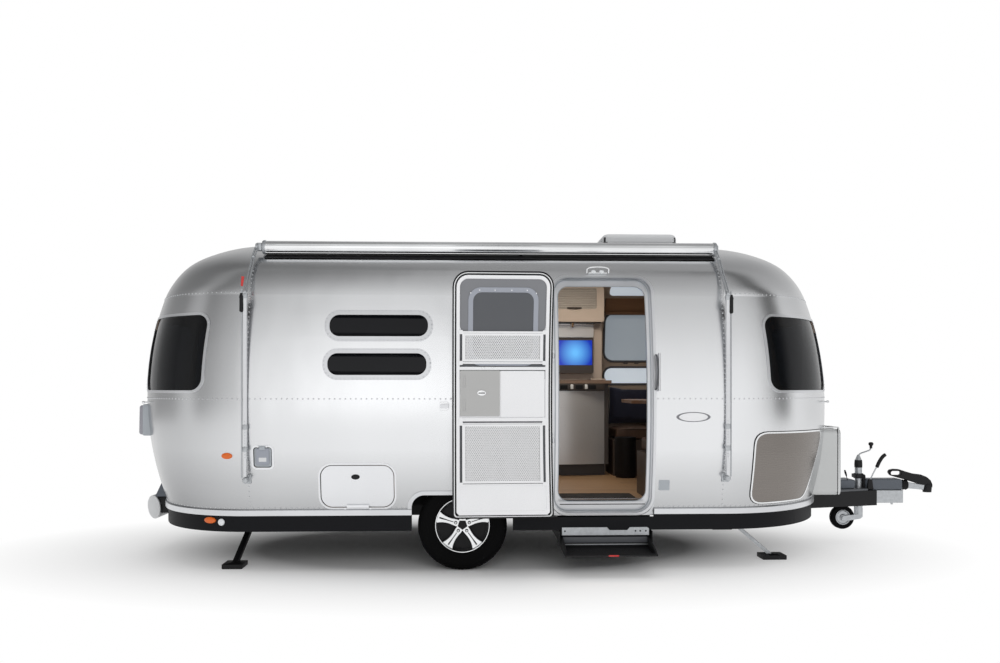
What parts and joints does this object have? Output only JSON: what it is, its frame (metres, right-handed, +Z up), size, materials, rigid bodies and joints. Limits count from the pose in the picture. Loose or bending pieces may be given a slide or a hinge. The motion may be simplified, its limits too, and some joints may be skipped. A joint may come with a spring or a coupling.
{
  "type": "travel caravan",
  "caption": "Single-axle travel caravan with a rounded riveted aluminium body, an open side door, drawbar, jockey wheel, corner steadies and furnished cabin.",
  "frame": {"origin": "centre of the ball socket in the coupling head", "axes": "+X forward along the drawbar, +Y to the left side, +Z up"},
  "size_m": [6.805, 2.6928, 2.668],
  "materials": {
    "skin_aluminium": "bright rolled sheet with rivets",
    "trim_aluminium": "extruded, satin",
    "dark_trim": "black moulding",
    "window_glass": "smoked acrylic",
    "dark_steel": "black paint",
    "zinc_steel": "galvanised",
    "alloy": "silver lacquer",
    "tyre": "matt black",
    "white_panel": "white",
    "floor_wood": "oak planks",
    "cabinet_wood": "pale lacquered",
    "brushed_front": "brushed",
    "worktop_stone": "grey laminate",
    "seat_hide": "dark brown",
    "bedding": "woven cover",
    "screen_black": "black glass",
    "lens": "moulded lenses",
    "blank_plate": "blank"
  },
  "bodies": {
    "caravan": {"awning": "dark_trim", "awning_arms": "dark_trim", "axle": "dark_steel", "bench_bases": "cabinet_wood", "chassis": "zinc_steel", "coupling_head": "zinc_steel", "cushions": "seat_hide", "door_fittings": "trim_aluminium", "door_frame": "trim_aluminium", "drawbar_cover": "dark_steel", "end_windows": "window_glass", "floor": "floor_wood", "front_dome": "skin_aluminium", "front_end": "skin_aluminium", "gas_locker": "skin_aluminium", "handbrake_lever": "dark_trim", "hatch_frames": "trim_aluminium", "jockey_clamp": "zinc_steel", "kitchen_cabinets": "cabinet_wood", "kitchen_front": "brushed_front", "lamps": "lens", "left_wall": "skin_aluminium", "mattress": "bedding", "number_plate": "blank_plate", "overrun_hitch": "dark_steel", "rear_bumper": "white_panel", "rear_dome": "skin_aluminium", "rear_end": "skin_aluminium", "right_wall": "skin_aluminium", "roof": "skin_aluminium", "roof_vent_base": "white_panel", "rub_rail": "trim_aluminium", "side_windows": "window_glass", "skirt": "dark_trim", "stone_guards": "skin_aluminium", "table": "cabinet_wood", "tv": "screen_black", "waste_bin": "brushed_front", "window_frames": "trim_aluminium", "worktop": "worktop_stone"},
    "door": {"main_door": "skin_aluminium", "door_window": "window_glass", "screen_door": "white_panel"},
    "storage_hatch_lid": {"storage_hatch": "skin_aluminium"},
    "service_hatch_lid": {"service_hatch": "skin_aluminium"},
    "vent_lid": {"roof_vent": "white_panel"},
    "locker_lid": {"gas_locker_lid": "skin_aluminium"},
    "step": {"entry_step": "zinc_steel"},
    "leg_front_right": {"steady_front_right": "zinc_steel"},
    "leg_front_left": {"steady_front_left": "zinc_steel"},
    "leg_rear_right": {"steady_rear_right": "zinc_steel"},
    "leg_rear_left": {"steady_rear_left": "zinc_steel"},
    "jockey_stem": {"jockey_tube": "zinc_steel"},
    "jockey_castor": {"jockey_fork": "zinc_steel"},
    "jockey_roller": {"jockey_wheel": "tyre"},
    "road_wheel_right": {"wheel_right": "alloy", "tyre_right": "tyre"},
    "road_wheel_left": {"wheel_left": "alloy", "tyre_left": "tyre"}
  },
  "joints": [
    {"name": "door_swing", "type": "hinge", "parent": "caravan", "child": "door", "pos_m": [-3.453, -1.245, 0.6], "axis": [0, 0, 1], "range_deg": [0, 178]},
    {"name": "storage_hatch_hinge", "type": "hinge", "parent": "caravan", "child": "storage_hatch_lid", "pos_m": [-4.892, -1.14282, 0.02], "axis": [1, 0, 0], "range_deg": [0, 90]},
    {"name": "service_hatch_hinge", "type": "hinge", "parent": "caravan", "child": "service_hatch_lid", "pos_m": [-5.576, -1.21734, 0.479], "axis": [-1, 0, 0], "range_deg": [0, 100]},
    {"name": "vent_hinge", "type": "hinge", "parent": "caravan", "child": "vent_lid", "pos_m": [-2.952, 0, 2.156], "axis": [0, -1, 0], "range_deg": [0, 60]},
    {"name": "locker_hinge", "type": "hinge", "parent": "caravan", "child": "locker_lid", "pos_m": [-1.03, 0, 0.579], "axis": [0, -1, 0], "range_deg": [0, 34]},
    {"name": "step_slide", "type": "slide", "parent": "caravan", "child": "step", "axis": [0, 1, 0], "range_m": [0, 0.23]},
    {"name": "steady_front_right_swing", "type": "hinge", "parent": "caravan", "child": "leg_front_right", "pos_m": [-1.97, -0.64, -0.155], "axis": [-0.2419, -0.9703, 0], "range_deg": [0, 38]},
    {"name": "steady_front_left_swing", "type": "hinge", "parent": "caravan", "child": "leg_front_left", "pos_m": [-1.97, 0.64, -0.155], "axis": [0.2419, -0.9703, 0], "range_deg": [0, 38]},
    {"name": "steady_rear_right_swing", "type": "hinge", "parent": "caravan", "child": "leg_rear_right", "pos_m": [-5.795, -0.59, -0.155], "axis": [-0.9848, 0.1736, 0], "range_deg": [0, 31]},
    {"name": "steady_rear_left_swing", "type": "hinge", "parent": "caravan", "child": "leg_rear_left", "pos_m": [-5.795, 0.59, -0.155], "axis": [0.9848, 0.1736, 0], "range_deg": [0, 31]},
    {"name": "jockey_wind", "type": "slide", "parent": "caravan", "child": "jockey_stem", "axis": [0, 0, -1], "range_m": [0, 0.105]},
    {"name": "jockey_swivel", "type": "hinge", "parent": "jockey_stem", "child": "jockey_castor", "pos_m": [-0.62, 0, -0.135], "axis": [0, 0, 1], "continuous": true},
    {"name": "jockey_roll", "type": "hinge", "parent": "jockey_castor", "child": "jockey_roller", "pos_m": [-0.77, 0, -0.238], "axis": [0, 1, 0], "continuous": true},
    {"name": "wheel_right_spin", "type": "hinge", "parent": "caravan", "child": "road_wheel_right", "pos_m": [-4.12, -0.9, -0.121], "axis": [0, 1, 0], "continuous": true},
    {"name": "wheel_left_spin", "type": "hinge", "parent": "caravan", "child": "road_wheel_left", "pos_m": [-4.12, 0.9, -0.121], "axis": [0, 1, 0], "continuous": true}
  ]
}
